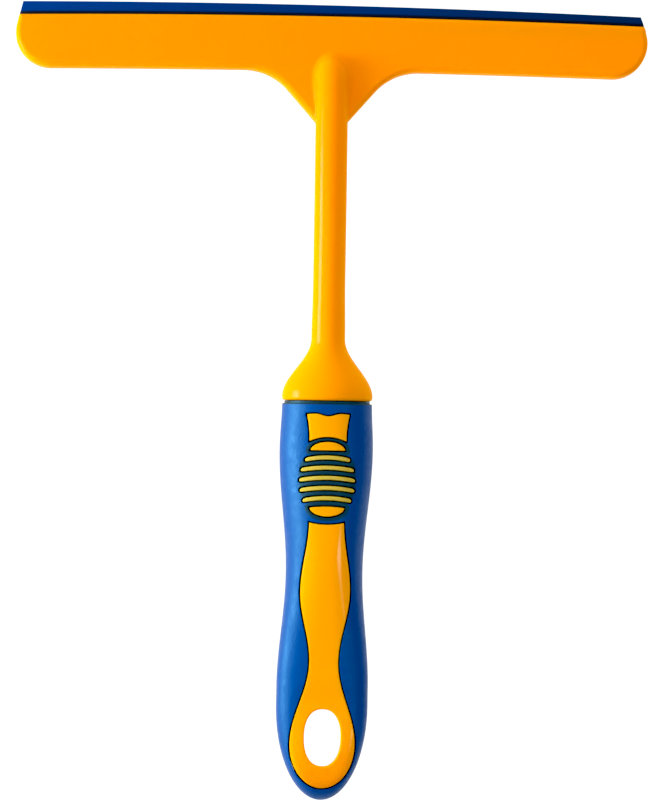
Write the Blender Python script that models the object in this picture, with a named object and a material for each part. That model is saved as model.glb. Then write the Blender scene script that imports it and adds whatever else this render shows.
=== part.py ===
"""Household squeegee with a two-colour handle, lying on its back as it would on a table.

Four pieces: the blade holder moulded in one with its neck and shoulder, the rigid core of the handle,
the soft grip round the core, and the rubber blade, whose beaded root slides along the holder's channel.

Metres, +Z up. X runs along the blade and Y from the butt of the handle to the blade. The origin is under
the middle of the whole tool, on the table. Places along the handle are counted from its butt, and those
along the neck from the shoulder's rim.
"""

import math

import bmesh
import bpy
from mathutils import Matrix

# Blade holder: a slab that leans back from the neck, with a web on each side of it.
HOLDER_WIDTH = 0.2500
HOLDER_HEIGHT = 0.0214
HOLDER_THICKNESS = 0.0070
HOLDER_TILT = math.radians(7)
HOLDER_CORNER_RADIUS = 0.0140
HOLDER_BACK_RADIUS = 0.0010
HOLDER_FRONT_SHARE = 0.60  # of half the thickness: radius of the front's edges
HOLDER_TOP_INSET = 0.0013  # each end is this much shorter at the top edge
HOLDER_TOP_CROWN = 0.0016  # the middle of the top edge stands this far above its ends
HOLDER_FOOT_CROWN = 0.0012
WEB_DROP = 0.0206  # holder's lower edge to where a web runs out on the neck
WEB_RADIUS = 0.0230
WEB_ANGLE = math.radians(49)

# The back of the holder is cored out between ribs, and open to the bead at windows.
POCKET_SKIN = 0.0022  # front wall left by the pockets
POCKET_WALL = 0.0020  # wall left round the edge
RIB_THICKNESS = 0.0016
RIB_BAYS = 12
NECK_ROOT_WALL = 0.0030  # solid holder left beside the neck
WINDOW_HEIGHT = 0.0026
WINDOW_LENGTH_SHARE = 0.45  # of a bay between two ribs

# Blade: a round bead, a lip that thins towards its tip, and slanted ends.
BEAD_RADIUS = 0.0017
BEAD_DEPTH = 0.0050  # holder's top edge to the bead's middle
LIP_REACH = 0.0049  # holder's top edge to the blade's tip
LIP_THICKNESS = 0.0016
TIP_THICKNESS = 0.0010
BLADE_END_SLANT = 0.0014
SLIDE_GAP = 0.0003  # blade to channel, all round

# Neck, shoulder and the plug under the shoulder.
NECK_REACH = 0.1362  # shoulder's rim to the nose
NECK_BEND = 0.0053  # the nose lies this far behind the handle's axis
NOSE_SETBACK = 0.0157  # nose to the middle of the holder's top edge
NOSE_LENGTH = 0.0092  # of the neck's rounded end
NECK_RADIUS = 0.00635
NECK_FLARE = 0.0003  # the neck thickens by this much towards the shoulder
NECK_FLARE_LENGTH = 0.0220
SHOULDER_WIDTH = 0.0357
SHOULDER_DEPTH = 0.0266
SHOULDER_LENGTH = 0.0245
RIM_RADIUS = 0.0014
PLUG_WIDTH = 0.0176
PLUG_DEPTH = 0.0136
PLUG_LENGTH = 0.0300
PLUG_WALL = 0.0024
PLUG_GAP = 0.0003

# Handle: overall form of core and grip together. Places are shares of its length, counted from the butt.
HANDLE_LENGTH = 0.1566
SEAM_GAP = 0.0005  # shoulder's rim to the handle's top
HANDLE_TOP_WIDTH = 0.0354
PALM_WIDTH = 0.0368
WAIST_WIDTH = 0.0302
SWELL_WIDTH = 0.0360
SWELL_SHARE = 0.281
WAIST_SHARE = 0.572
PALM_SHARE = 0.881
BUTT_SHARE = 0.236  # where the rounded end, seen from the front, reaches its full width
HANDLE_TOP_DEPTH = 0.0264
PALM_DEPTH = 0.0278
TAB_DEPTH = 0.0184  # thin end round the hanging eye
DEEPEST_SHARE = 0.715
TAB_SHARE = 0.243  # end of the tab
TAB_ROUND_SHARE = 0.077  # where the rounded end, seen from the side, reaches its full depth
FLAT_DEPTH = 0.0170  # between the two flats on the tab
FLAT_FADE_SHARE = 0.409  # where the flats have run out
TOP_EDGE_RADIUS = 0.0010

# Grip wall, the gap between the two colours, and the bore that cores out the handle.
GRIP_WALL = 0.0022
GRIP_GAP = 0.0003
BORE_WIDTH = 0.0150
BORE_DEPTH = 0.0110
BORE_FOOT_SHARE = 0.365

# Hanging eye.
EYE_WIDTH = 0.0143
EYE_LENGTH = 0.0222
EYE_SHARE = 0.158
EYE_SQUARENESS = 2.3

# Long inlay, from the eye to the thumb pad.
INLAY_FOOT_SHARE = 0.029
INLAY_BULB_SHARE = 0.141
INLAY_WAIST_SHARE = 0.348
INLAY_BELLY_SHARE = 0.524
INLAY_TOP_SHARE = 0.700
INLAY_BULB_WIDTH = 0.0262
INLAY_WAIST_WIDTH = 0.0120
INLAY_BELLY_WIDTH = 0.0201
INLAY_TOP_WIDTH = 0.0143
INLAY_TOP_DIP = 0.0009
REAR_INLAY_TOP_SHARE = 0.275

# Thumb pad: bowed slots between two end pieces, all within an oval.
PAD_SHARE = 0.802
PAD_WIDTH = 0.0226
PAD_LENGTH_SHARE = 0.190
PAD_CAP_WIDTH = 0.0144
SLOT_BOW = 0.0011
# Of the pad's length:
CAP_LENGTH_SHARE = 0.134
CAP_PLACE_SHARE = 0.369  # inner edge of an end piece, from the middle slot
SLOT_PITCH_SHARE = 0.134
SLOT_HEIGHT_SHARE = 0.074
SLOT_RISE_SHARE = 0.023  # the middle slot lies this far above the oval's middle
SLOT_COUNT = 5

# Upper inlay, between the thumb pad and the shoulder.
UPPER_FOOT_SHARE = 0.898
UPPER_TOP_SHARE = 0.971
UPPER_FOOT_WIDTH = 0.0152
UPPER_TOP_WIDTH = 0.0176
UPPER_FOOT_RISE = 0.0019
UPPER_TOP_DIP = 0.0011
UPPER_SIDE_DIP = 0.0004

OVERRUN = 0.0020  # how far a cutter runs past what it cuts
INLAY_LEVEL = 0.0010  # the inlays' cutters start this far from the handle's axis
WELD = 1e-7
HANDLE_SIDES = 36  # points round a section
NECK_SIDES = 28

# Places that follow from the sizes above.
HOLDER_REACH = NECK_REACH + NOSE_SETBACK  # shoulder's rim to the middle of the holder's top edge
AXIS_HEIGHT = PALM_DEPTH / 2
TILT_COS = math.cos(HOLDER_TILT)
TILT_SIN = math.sin(HOLDER_TILT)
TIP_LEAD = LIP_REACH * TILT_COS + TIP_THICKNESS / 2 * TILT_SIN
OVERALL_LENGTH = HANDLE_LENGTH + SEAM_GAP + HOLDER_REACH + TIP_LEAD
BUTT_Y = -OVERALL_LENGTH / 2
RIM_Y = BUTT_Y + HANDLE_LENGTH + SEAM_GAP
HALF_THICKNESS = HOLDER_THICKNESS / 2
# The top of the holder's back touches the table that the palm swell lies on.
HOLDER_TOP_HEIGHT = HALF_THICKNESS * TILT_COS - HOLDER_BACK_RADIUS * TILT_SIN
# Carries the holder's own plane (across, up, towards the front) to its place on the tool.
HOLDER_PLANE = Matrix.Translation((0, RIM_Y + HOLDER_REACH, HOLDER_TOP_HEIGHT)) @ Matrix.Rotation(
    -HOLDER_TILT, 4, "X"
)
BEAD_LINE = HOLDER_PLANE @ Matrix.Translation((0, -BEAD_DEPTH, 0))
CAVITY_RADIUS = BEAD_RADIUS + SLIDE_GAP
CHANNEL_FLOOR = BEAD_DEPTH + CAVITY_RADIUS  # holder's top edge to the bottom of the channel
BAY_PITCH = HOLDER_WIDTH / RIB_BAYS
BUTT_LENGTH = BUTT_SHARE * HANDLE_LENGTH
BULB_PLACE = INLAY_BULB_SHARE * HANDLE_LENGTH
INLAY_FOOT = INLAY_FOOT_SHARE * HANDLE_LENGTH
PAD_PLACE = PAD_SHARE * HANDLE_LENGTH
PAD_LENGTH = PAD_LENGTH_SHARE * HANDLE_LENGTH
SLOT_PLACE = PAD_PLACE + SLOT_RISE_SHARE * PAD_LENGTH  # the middle slot's
SLOT_PITCH = SLOT_PITCH_SHARE * PAD_LENGTH


def clear_scene():
    for old in list(bpy.data.objects):
        bpy.data.objects.remove(old)


def new_collection(name):
    collection = bpy.data.collections.new(name)
    bpy.context.scene.collection.children.link(collection)
    return collection


def plastic(name, colour, roughness):
    material = bpy.data.materials.new(name)
    material.use_nodes = True
    shader = material.node_tree.nodes["Principled BSDF"]
    shader.inputs["Base Color"].default_value = (*colour, 1)
    shader.inputs["Roughness"].default_value = roughness
    shader.inputs["Metallic"].default_value = 0
    material.diffuse_color = (*colour, 1)
    return material


def mesh_object(name, mesh, collection, matrix=None):
    made = bpy.data.objects.new(name, mesh)
    collection.objects.link(made)
    if matrix is not None:
        made.matrix_world = matrix
    return made


def as_cutter(made):
    made.hide_render = True
    made.display_type = "WIRE"
    return made


def boolean(target, other, operation):
    modifier = target.modifiers.new(f"{operation.lower()} {other.name}", "BOOLEAN")
    modifier.operation = operation
    modifier.object = other
    modifier.solver = "EXACT"


def finish(made, material):
    made.data.materials.clear()
    made.data.materials.append(material)
    made.data.shade_smooth()
    made.data.set_sharp_from_angle(angle=math.radians(32))


def prism(name, outlines, low, high, collection, matrix=None, inset=0.0):
    """Flat outlines between two heights, as a filled 2D curve made into a mesh."""
    curve = bpy.data.curves.new(name, "CURVE")
    curve.dimensions = "2D"
    curve.fill_mode = "BOTH"
    curve.extrude = (high - low) / 2
    curve.offset = -inset
    for outline in outlines:
        spline = curve.splines.new("POLY")
        spline.points.add(len(outline) - 1)
        for point, (x, y) in zip(spline.points, outline):
            point.co = (x, y, 0, 1)
        spline.use_cyclic_u = True
    drawn = bpy.data.objects.new(name + "_curve", curve)
    collection.objects.link(drawn)
    graph = bpy.context.evaluated_depsgraph_get()
    mesh = bpy.data.meshes.new_from_object(drawn.evaluated_get(graph))
    bpy.data.objects.remove(drawn)
    weld_and_face_out(mesh)
    mesh.transform(Matrix.Translation((0, 0, (low + high) / 2)))
    return mesh_object(name, mesh, collection, matrix)


def drawn_in(outline, distance):
    """A closed outline, listed anticlockwise, moved inwards by the same distance all round."""
    moved = []
    for before, (x, y), after in zip(outline[-1:] + outline[:-1], outline, outline[1:] + outline[:1]):
        edges = [(x - before[0], y - before[1]), (after[0] - x, after[1] - y)]
        (ax, ay), (bx, by) = [(-v / math.hypot(u, v), u / math.hypot(u, v)) for u, v in edges]
        reach = distance / (1 + ax * bx + ay * by)
        moved.append((x + (ax + bx) * reach, y + (ay + by) * reach))
    return moved


def round_edged_slab(name, outline, half_thickness, back_radius, front_radius, collection, matrix):
    """An outline with thickness, its front and back edges rounded."""
    back_steps, front_steps = 2, 3
    levels = []
    for i in range(back_steps + 1):
        turn = math.pi / 2 * i / back_steps
        levels.append((back_radius * (1 - math.sin(turn)), back_radius * (1 - math.cos(turn)) - half_thickness))
    for i in range(front_steps + 1):
        turn = math.pi / 2 * i / front_steps
        levels.append((front_radius * (1 - math.cos(turn)), half_thickness - front_radius * (1 - math.sin(turn))))
    work = bmesh.new()
    rings = [[work.verts.new((x, y, z)) for x, y in drawn_in(outline, inset)] for inset, z in levels]
    for lower, upper in zip(rings, rings[1:]):
        for i in range(len(lower)):
            work.faces.new((lower[i - 1], lower[i], upper[i], upper[i - 1]))
    work.faces.new(reversed(rings[0]))
    work.faces.new(rings[-1])
    bmesh.ops.triangulate(work, faces=[face for face in work.faces if len(face.verts) > 4])
    mesh = bpy.data.meshes.new(name)
    work.to_mesh(mesh)
    work.free()
    weld_and_face_out(mesh)
    return mesh_object(name, mesh, collection, matrix)


def weld_and_face_out(mesh):
    work = bmesh.new()
    work.from_mesh(mesh)
    bmesh.ops.remove_doubles(work, verts=work.verts, dist=WELD)
    bmesh.ops.recalc_face_normals(work, faces=work.faces)
    work.to_mesh(mesh)
    work.free()


def box(name, low, high, collection, matrix=None):
    work = bmesh.new()
    bmesh.ops.create_cube(work, size=1)
    size = [b - a for a, b in zip(low, high)]
    middle = [(a + b) / 2 for a, b in zip(low, high)]
    bmesh.ops.scale(work, vec=size, verts=work.verts)
    bmesh.ops.translate(work, vec=middle, verts=work.verts)
    mesh = bpy.data.meshes.new(name)
    work.to_mesh(mesh)
    work.free()
    return mesh_object(name, mesh, collection, matrix)


def rod(name, width, depth, start, end, collection, sides, turn=Matrix()):
    """A round or oval rod along +Y from start to end, or along where turn points it."""
    work = bmesh.new()
    bmesh.ops.create_cone(work, cap_ends=True, segments=sides, radius1=1, radius2=1, depth=1)
    bmesh.ops.rotate(work, matrix=Matrix.Rotation(math.pi / 2, 3, "X"), verts=work.verts)
    bmesh.ops.scale(work, vec=(width / 2, end - start, depth / 2), verts=work.verts)
    bmesh.ops.translate(work, vec=(0, (start + end) / 2, 0), verts=work.verts)
    mesh = bpy.data.meshes.new(name)
    work.to_mesh(mesh)
    work.free()
    return mesh_object(name, mesh, collection, turn)


def oval_ring(half_width, half_depth, squareness, flat, sides):
    """Points round a section, half a step off its axes, so its sides lie flat at full width and depth."""
    power = 2 / squareness
    grow = math.cos(math.pi / sides) ** -power
    points = []
    for i in range(sides):
        turn = 2 * math.pi * (i + 1 / 2) / sides
        across, up = math.cos(turn), math.sin(turn)
        x = math.copysign(abs(across) ** power, across) * half_width * grow
        z = math.copysign(abs(up) ** power, up) * half_depth * grow
        points.append((x, min(max(z, -flat), flat)))
    return points


def loft(name, sections, sides, collection):
    """A closed skin over sections of (y, z, half width, half depth, squareness, flat), or (y, z) at a point."""
    work = bmesh.new()
    rings = []
    for y, middle, *shape in sections:
        ring = oval_ring(*shape, sides) if shape else [(0, 0)]
        rings.append([work.verts.new((x, y, middle + z)) for x, z in ring])
    for lower, upper in zip(rings, rings[1:]):
        for i in range(sides):
            j = (i + 1) % sides
            low, high = len(lower), len(upper)
            corners = [lower[i % low], lower[j % low], upper[j % high], upper[i % high]]
            work.faces.new(list(dict.fromkeys(corners)))
    for ring in (rings[0], rings[-1]):
        if len(ring) > 1:
            work.faces.new(ring)
    bmesh.ops.recalc_face_normals(work, faces=work.faces)
    mesh = bpy.data.meshes.new(name)
    work.to_mesh(mesh)
    work.free()
    return mesh_object(name, mesh, collection)


def ease(share):
    """From 0 to 1 along half a cosine wave."""
    return (1 - math.cos(math.pi * min(max(share, 0), 1))) / 2


def through(stations, place):
    """A smooth curve with its highs and lows at the stations, each (share of the handle's length, value)."""
    share = place / HANDLE_LENGTH
    if share <= stations[0][0]:
        return stations[0][1]
    for (start, low), (end, high) in zip(stations, stations[1:]):
        if share <= end:
            return low + (high - low) * ease((share - start) / (end - start))
    return stations[-1][1]


def bulge(distance, length):
    """Half width share of a rounded end, at this distance from its tip."""
    share = min(max(1 - distance / length, 0), 1)
    return math.sqrt(1 - share * share)


def handle_half_width(place):
    stations = (
        (SWELL_SHARE, SWELL_WIDTH / 2),
        (WAIST_SHARE, WAIST_WIDTH / 2),
        (PALM_SHARE, PALM_WIDTH / 2),
        (1, HANDLE_TOP_WIDTH / 2),
    )
    return through(stations, place) * bulge(place, BUTT_LENGTH)


def handle_half_depth(place):
    stations = ((TAB_SHARE, TAB_DEPTH / 2), (DEEPEST_SHARE, PALM_DEPTH / 2), (1, HANDLE_TOP_DEPTH / 2))
    return through(stations, place) * bulge(place, TAB_ROUND_SHARE * HANDLE_LENGTH)


def handle_squareness(place):
    """The flat tab is squarer in section than the grip above it."""
    tab_squareness, grip_squareness = 3.0, 2.2
    return through(((TAB_SHARE, tab_squareness), (DEEPEST_SHARE, grip_squareness)), place)


def handle_flat(place):
    """Height of the two flats from the handle's axis."""
    return through(((TAB_SHARE, FLAT_DEPTH / 2), (FLAT_FADE_SHARE, PALM_DEPTH / 2)), place)


def handle_places(start):
    """Where the handle's sections lie: close together at the rounded butt, even above it."""
    butt_sections, grip_sections = 9, 17
    for i in range(1, butt_sections):
        yield start + (BUTT_LENGTH - start) * (1 - math.cos(math.pi / 2 * i / butt_sections))
    for i in range(grip_sections):
        yield BUTT_LENGTH + (HANDLE_LENGTH - BUTT_LENGTH) * i / grip_sections


def handle_form(name, inset, top, collection, round_top=False):
    """The handle's form, up to the given top, drawn in by an inset that is the same all round."""
    sections = [(BUTT_Y + inset, AXIS_HEIGHT)]
    deepest = DEEPEST_SHARE * HANDLE_LENGTH
    rows = [(place, 0) for place in sorted([*handle_places(inset), deepest])]
    round_steps = 3 if round_top else 0
    for i in range(round_steps):
        turn = math.pi / 2 * i / round_steps
        rows.append((top - TOP_EDGE_RADIUS * (1 - math.sin(turn)), TOP_EDGE_RADIUS * (1 - math.cos(turn))))
    rows.append((top, TOP_EDGE_RADIUS if round_top else 0))
    for place, drawn_in in rows:
        drawn_in += inset
        half_width = handle_half_width(place) - drawn_in
        half_depth = handle_half_depth(place) - drawn_in
        if min(half_width, half_depth) > inset / 2:
            shape = (half_width, half_depth, handle_squareness(place), handle_flat(place) - drawn_in)
            sections.append((BUTT_Y + place, AXIS_HEIGHT, *shape))
    return loft(name, sections, HANDLE_SIDES, collection)


def holder_outline():
    """Right half of the slab from the middle of its foot to the middle of its top, then the left half."""
    half = HOLDER_WIDTH / 2
    turn_height = WEB_RADIUS * (1 - math.cos(WEB_ANGLE))
    arc_end = NECK_RADIUS + (WEB_DROP - turn_height) / math.tan(WEB_ANGLE)
    arc_start = arc_end + WEB_RADIUS * math.sin(WEB_ANGLE)
    half_points = [(0, -HOLDER_HEIGHT - WEB_DROP - NECK_RADIUS * math.tan(WEB_ANGLE))]
    arc_steps, foot_steps, corner_steps, side_steps, top_steps = 7, 7, 9, 4, 10

    def foot(u):
        return -HOLDER_HEIGHT - HOLDER_FOOT_CROWN * (u / half) ** 2

    for i in range(arc_steps + 1):
        turn = WEB_ANGLE * (1 - i / arc_steps)
        u = arc_start - WEB_RADIUS * math.sin(turn)
        half_points.append((u, foot(u) - WEB_RADIUS * (1 - math.cos(turn))))
    corner_middle = half - HOLDER_CORNER_RADIUS
    for i in range(1, foot_steps):
        u = arc_start + (corner_middle - arc_start) * i / foot_steps
        half_points.append((u, foot(u)))
    for i in range(corner_steps + 1):
        turn = math.pi / 2 * i / corner_steps
        u = corner_middle + HOLDER_CORNER_RADIUS * math.sin(turn)
        half_points.append((u, foot(corner_middle) + HOLDER_CORNER_RADIUS * (1 - math.cos(turn))))
    side_foot = half_points[-1][1]
    for i in range(1, side_steps + 1):
        share = i / side_steps
        rise = (-HOLDER_TOP_CROWN - side_foot) * share
        half_points.append((half - HOLDER_TOP_INSET * share**2, side_foot + rise))
    for i in range(1, top_steps + 1):
        u = (half - HOLDER_TOP_INSET) * (1 - i / top_steps)
        half_points.append((u, -HOLDER_TOP_CROWN * (u / half) ** 2))
    return half_points + [(-u, v) for u, v in reversed(half_points[1:-1])]


def neck_sections():
    """From the plain face under the shoulder's rim, up the bell and the bent neck, to the round nose."""
    rim_steps, bell_steps, neck_steps, nose_steps = 3, 12, 8, 7
    sections = []

    def shoulder(distance):
        share = ease((distance - RIM_RADIUS) / (SHOULDER_LENGTH - RIM_RADIUS))
        foot = NECK_RADIUS + NECK_FLARE * (1 - ease((distance - SHOULDER_LENGTH) / NECK_FLARE_LENGTH))
        return (
            SHOULDER_WIDTH / 2 + (foot - SHOULDER_WIDTH / 2) * share,
            SHOULDER_DEPTH / 2 + (foot - SHOULDER_DEPTH / 2) * share,
        )

    for i in range(rim_steps):
        turn = math.pi / 2 * i / rim_steps
        drawn_in = RIM_RADIUS * (1 - math.sin(turn))
        distance = RIM_RADIUS * (1 - math.cos(turn))
        sections.append((distance, SHOULDER_WIDTH / 2 - drawn_in, SHOULDER_DEPTH / 2 - drawn_in))
    for i in range(bell_steps + 1):
        distance = RIM_RADIUS + (SHOULDER_LENGTH - RIM_RADIUS) * i / bell_steps
        sections.append((distance, *shoulder(distance)))
    neck_end = NECK_REACH - NOSE_LENGTH
    for i in range(1, neck_steps):
        distance = SHOULDER_LENGTH + (neck_end - SHOULDER_LENGTH) * i / neck_steps
        sections.append((distance, *shoulder(distance)))
    for i in range(nose_steps):
        turn = math.pi / 2 * i / nose_steps
        distance = neck_end + NOSE_LENGTH * math.sin(turn)
        sections.append((distance, NECK_RADIUS * math.cos(turn), NECK_RADIUS * math.cos(turn)))

    def middle(distance):
        share = max(distance - SHOULDER_LENGTH, 0) / (NECK_REACH - SHOULDER_LENGTH)
        return AXIS_HEIGHT - NECK_BEND * share**2

    round_section = 2
    rows = [(RIM_Y + distance, middle(distance), a, b, round_section, b) for distance, a, b in sections]
    return [*rows, (RIM_Y + NECK_REACH, middle(NECK_REACH))]


def pocket_cutter(collection):
    """What is cored out of the holder's back: its outline drawn in, less the channel, ribs and neck root."""
    low = -HALF_THICKNESS - OVERRUN
    high = HALF_THICKNESS - POCKET_SKIN
    reach = HOLDER_WIDTH
    pockets = prism("pockets", [holder_outline()], low, high, collection, HOLDER_PLANE, inset=POCKET_WALL)
    ceiling = -CHANNEL_FLOOR - HOLDER_TOP_CROWN - POCKET_WALL
    bands = [("channel_land", (-reach, ceiling, -reach), (reach, reach, reach))]
    root = NECK_RADIUS + NECK_ROOT_WALL
    bands.append(("neck_root", (-root, -reach, -reach), (root, reach, reach)))
    for i in range(1, RIB_BAYS):
        middle = BAY_PITCH * (i - RIB_BAYS / 2)
        if abs(middle) > root:
            ends = (middle - RIB_THICKNESS / 2, middle + RIB_THICKNESS / 2)
            bands.append((f"rib_{i}", (ends[0], -reach, -reach), (ends[1], reach, reach)))
    for name, start, end in bands:
        band = as_cutter(box(name, start, end, collection, HOLDER_PLANE))
        boolean(pockets, band, "DIFFERENCE")
    return as_cutter(pockets)


def build_holder(parts, cutters, material):
    radii = HOLDER_BACK_RADIUS, HOLDER_FRONT_SHARE * HALF_THICKNESS
    slab = round_edged_slab("blade_holder", holder_outline(), HALF_THICKNESS, *radii, parts, HOLDER_PLANE)
    boolean(slab, pocket_cutter(cutters), "DIFFERENCE")
    neck = as_cutter(loft("neck", neck_sections(), NECK_SIDES, cutters))
    boolean(slab, neck, "UNION")
    plug = rod("plug", PLUG_WIDTH, PLUG_DEPTH, RIM_Y - PLUG_LENGTH, RIM_Y + OVERRUN, cutters, NECK_SIDES)
    plug.location.z = AXIS_HEIGHT
    boolean(slab, as_cutter(plug), "UNION")
    hollow_width, hollow_depth = PLUG_WIDTH - 2 * PLUG_WALL, PLUG_DEPTH - 2 * PLUG_WALL
    hollow_start = RIM_Y - PLUG_LENGTH - OVERRUN
    hollow = rod("plug_hollow", hollow_width, hollow_depth, hollow_start, RIM_Y, cutters, NECK_SIDES)
    hollow.location.z = AXIS_HEIGHT
    boolean(slab, as_cutter(hollow), "DIFFERENCE")

    reach = HOLDER_WIDTH / 2 + OVERRUN
    half_slot = LIP_THICKNESS / 2 + SLIDE_GAP
    slot = box("slot", (-reach, -BEAD_DEPTH, -half_slot), (reach, OVERRUN, half_slot), cutters, HOLDER_PLANE)
    boolean(slab, as_cutter(slot), "DIFFERENCE")
    cavity_sides = 16
    along_x = BEAD_LINE @ Matrix.Rotation(-math.pi / 2, 4, "Z")
    bore = 2 * CAVITY_RADIUS
    cavity = rod("bead_cavity", bore, bore, -reach, reach, cutters, cavity_sides, along_x)
    boolean(slab, as_cutter(cavity), "DIFFERENCE")
    for i in range(RIB_BAYS):
        middle = BAY_PITCH * (i + 1 / 2 - RIB_BAYS / 2)
        half_length = BAY_PITCH * WINDOW_LENGTH_SHARE / 2
        start = (middle - half_length, -BEAD_DEPTH - WINDOW_HEIGHT / 2, -HALF_THICKNESS - OVERRUN)
        end = (middle + half_length, -BEAD_DEPTH + WINDOW_HEIGHT / 2, 0)
        window = box(f"bead_window_{i + 1}", start, end, cutters, HOLDER_PLANE)
        boolean(slab, as_cutter(window), "DIFFERENCE")
    finish(slab, material)


def build_blade(parts, cutters, material):
    """Drawn about the bead's middle line, along which the blade slides in the channel."""
    half = HOLDER_WIDTH / 2 - HOLDER_TOP_INSET
    tip_half = half - BLADE_END_SLANT
    tip_height = BEAD_DEPTH + LIP_REACH
    foot_height = BEAD_DEPTH - HOLDER_TOP_CROWN
    tip_steps = 12
    outline = [(-half, 0), (half, 0), (half, foot_height)]
    for i in range(tip_steps + 1):
        u = tip_half * (1 - 2 * i / tip_steps)
        outline.append((u, tip_height - HOLDER_TOP_CROWN * (u / (HOLDER_WIDTH / 2)) ** 2))
    outline.append((-half, foot_height))
    thickness = LIP_THICKNESS / 2
    blade = prism("rubber_blade", [outline], -thickness, thickness, parts, BEAD_LINE)
    for vertex in blade.data.vertices:
        # The lip thins evenly from the foot at its ends to its tip.
        share = max(vertex.co.y - foot_height, 0) / (tip_height - foot_height)
        vertex.co.z *= 1 - share * (1 - TIP_THICKNESS / LIP_THICKNESS)
    bead_sides = 14
    along_x = BEAD_LINE @ Matrix.Rotation(-math.pi / 2, 4, "Z")
    bead = rod("bead", 2 * BEAD_RADIUS, 2 * BEAD_RADIUS, -half, half, cutters, bead_sides, along_x)
    boolean(blade, as_cutter(bead), "UNION")
    finish(blade, material)


def mirrored(right_side):
    """A closed outline from its right side, which runs up from the middle line."""
    left_side = [(-x, y) for x, y in reversed(right_side) if x > 0]
    return right_side + left_side


def long_inlay():
    """Round below the eye, in at the waist, out at the belly, and dished at the top under the thumb pad."""
    bulb_steps, side_steps, top_steps = 8, 18, 4
    stations = (
        (INLAY_BULB_SHARE, INLAY_BULB_WIDTH / 2),
        (INLAY_WAIST_SHARE, INLAY_WAIST_WIDTH / 2),
        (INLAY_BELLY_SHARE, INLAY_BELLY_WIDTH / 2),
        (INLAY_TOP_SHARE, INLAY_TOP_WIDTH / 2),
    )
    top = INLAY_TOP_SHARE * HANDLE_LENGTH
    right = []
    for i in range(bulb_steps):
        turn = math.pi / 2 * i / bulb_steps
        y = BULB_PLACE - (BULB_PLACE - INLAY_FOOT) * math.cos(turn)
        right.append((INLAY_BULB_WIDTH / 2 * math.sin(turn), y))
    for i in range(side_steps + 1):
        y = BULB_PLACE + (top - BULB_PLACE) * i / side_steps
        right.append((through(stations, y), y))
    right += dished_edge(INLAY_TOP_WIDTH / 2, top, -INLAY_TOP_DIP, top_steps)
    return mirrored(right)


def dished_edge(half_width, place, rise, steps):
    """Points from the corner in to the middle line, on an edge whose middle stands higher by the rise."""
    points = []
    for i in range(1, steps + 1):
        share = 1 - i / steps
        points.append((half_width * share, place + rise * (1 - share**2)))
    return points


def upper_inlay():
    """A small shield with hollow sides and top, whose foot arches over the thumb pad."""
    edge_steps, side_steps = 4, 4
    foot, top = UPPER_FOOT_SHARE * HANDLE_LENGTH, UPPER_TOP_SHARE * HANDLE_LENGTH
    right = dished_edge(UPPER_FOOT_WIDTH / 2, foot, UPPER_FOOT_RISE, edge_steps)[::-1]
    for i in range(side_steps + 1):
        share = i / side_steps
        half_width = UPPER_FOOT_WIDTH / 2 + (UPPER_TOP_WIDTH - UPPER_FOOT_WIDTH) / 2 * share
        dip = UPPER_SIDE_DIP * 4 * share * (1 - share)
        right.append((half_width - dip, foot + (top - foot) * share))
    right += dished_edge(UPPER_TOP_WIDTH / 2, top, -UPPER_TOP_DIP, edge_steps)
    return mirrored(right)


def pad_reach(place):
    """Half the oval pad's width, at this place along the handle."""
    return PAD_WIDTH / 2 * math.sqrt(1 - ((place - PAD_PLACE) / (PAD_LENGTH / 2)) ** 2)


def pad_slots():
    """The thumb pad's bowed slots, each as long as the oval pad is wide there."""
    steps = 14
    outlines = []
    for k in range(SLOT_COUNT):
        place = SLOT_PLACE + SLOT_PITCH * (k - (SLOT_COUNT - 1) / 2)
        reach = pad_reach(place)
        upper, lower = [], []
        for i in range(steps + 1):
            share = math.cos(math.pi * i / steps)
            y = place + SLOT_BOW * (1 / 2 - share**2)
            # The slot's ends are rounded off.
            half_height = SLOT_HEIGHT_SHARE * PAD_LENGTH / 2 * math.sqrt(1 - share**20)
            upper.append((reach * share, y + half_height))
            lower.append((reach * share, y - half_height))
        outlines.append(upper[:-1] + lower[:0:-1])
    return outlines


def pad_cap(up):
    """The upper (1) or lower (-1) end piece of the thumb pad: bowed like the slots inside, round outside."""
    steps = 8
    inner = SLOT_PLACE + up * CAP_PLACE_SHARE * PAD_LENGTH
    length = CAP_LENGTH_SHARE * PAD_LENGTH
    outer, inside = [], []
    for i in range(steps):
        turn = math.pi * i / steps
        across, out = math.cos(turn), math.sin(turn)
        outer.append((PAD_CAP_WIDTH / 2 * across, inner + up * length * out))
        bow = SLOT_BOW / 2 * out**2
        inside.append((-PAD_CAP_WIDTH / 2 * across, inner + (bow if up < 0 else 0)))
    return outer + inside


def rear_inlay():
    """The oval of bare core round the eye on the handle's back."""
    steps = 28
    up = REAR_INLAY_TOP_SHARE * HANDLE_LENGTH - BULB_PLACE
    down = BULB_PLACE - INLAY_FOOT
    points = []
    for i in range(steps):
        turn = 2 * math.pi * i / steps
        rise = up if math.sin(turn) > 0 else down
        points.append((INLAY_BULB_WIDTH / 2 * math.cos(turn), BULB_PLACE + rise * math.sin(turn)))
    return points


def inlays(name, inset, collection):
    """Every place where the core comes through the grip, front and back, drawn in by the inset."""
    front = [long_inlay(), upper_inlay(), *pad_slots(), pad_cap(1), pad_cap(-1)]
    on_handle = Matrix.Translation((0, BUTT_Y, 0))
    levels = (
        ("front", front, AXIS_HEIGHT + INLAY_LEVEL, AXIS_HEIGHT + PALM_DEPTH / 2 + OVERRUN),
        ("back", [rear_inlay()], AXIS_HEIGHT - PALM_DEPTH / 2 - OVERRUN, AXIS_HEIGHT - INLAY_LEVEL),
    )
    for side, outlines, low, high in levels:
        yield as_cutter(prism(f"{side}_{name}", outlines, low, high, collection, on_handle, inset))


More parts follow.
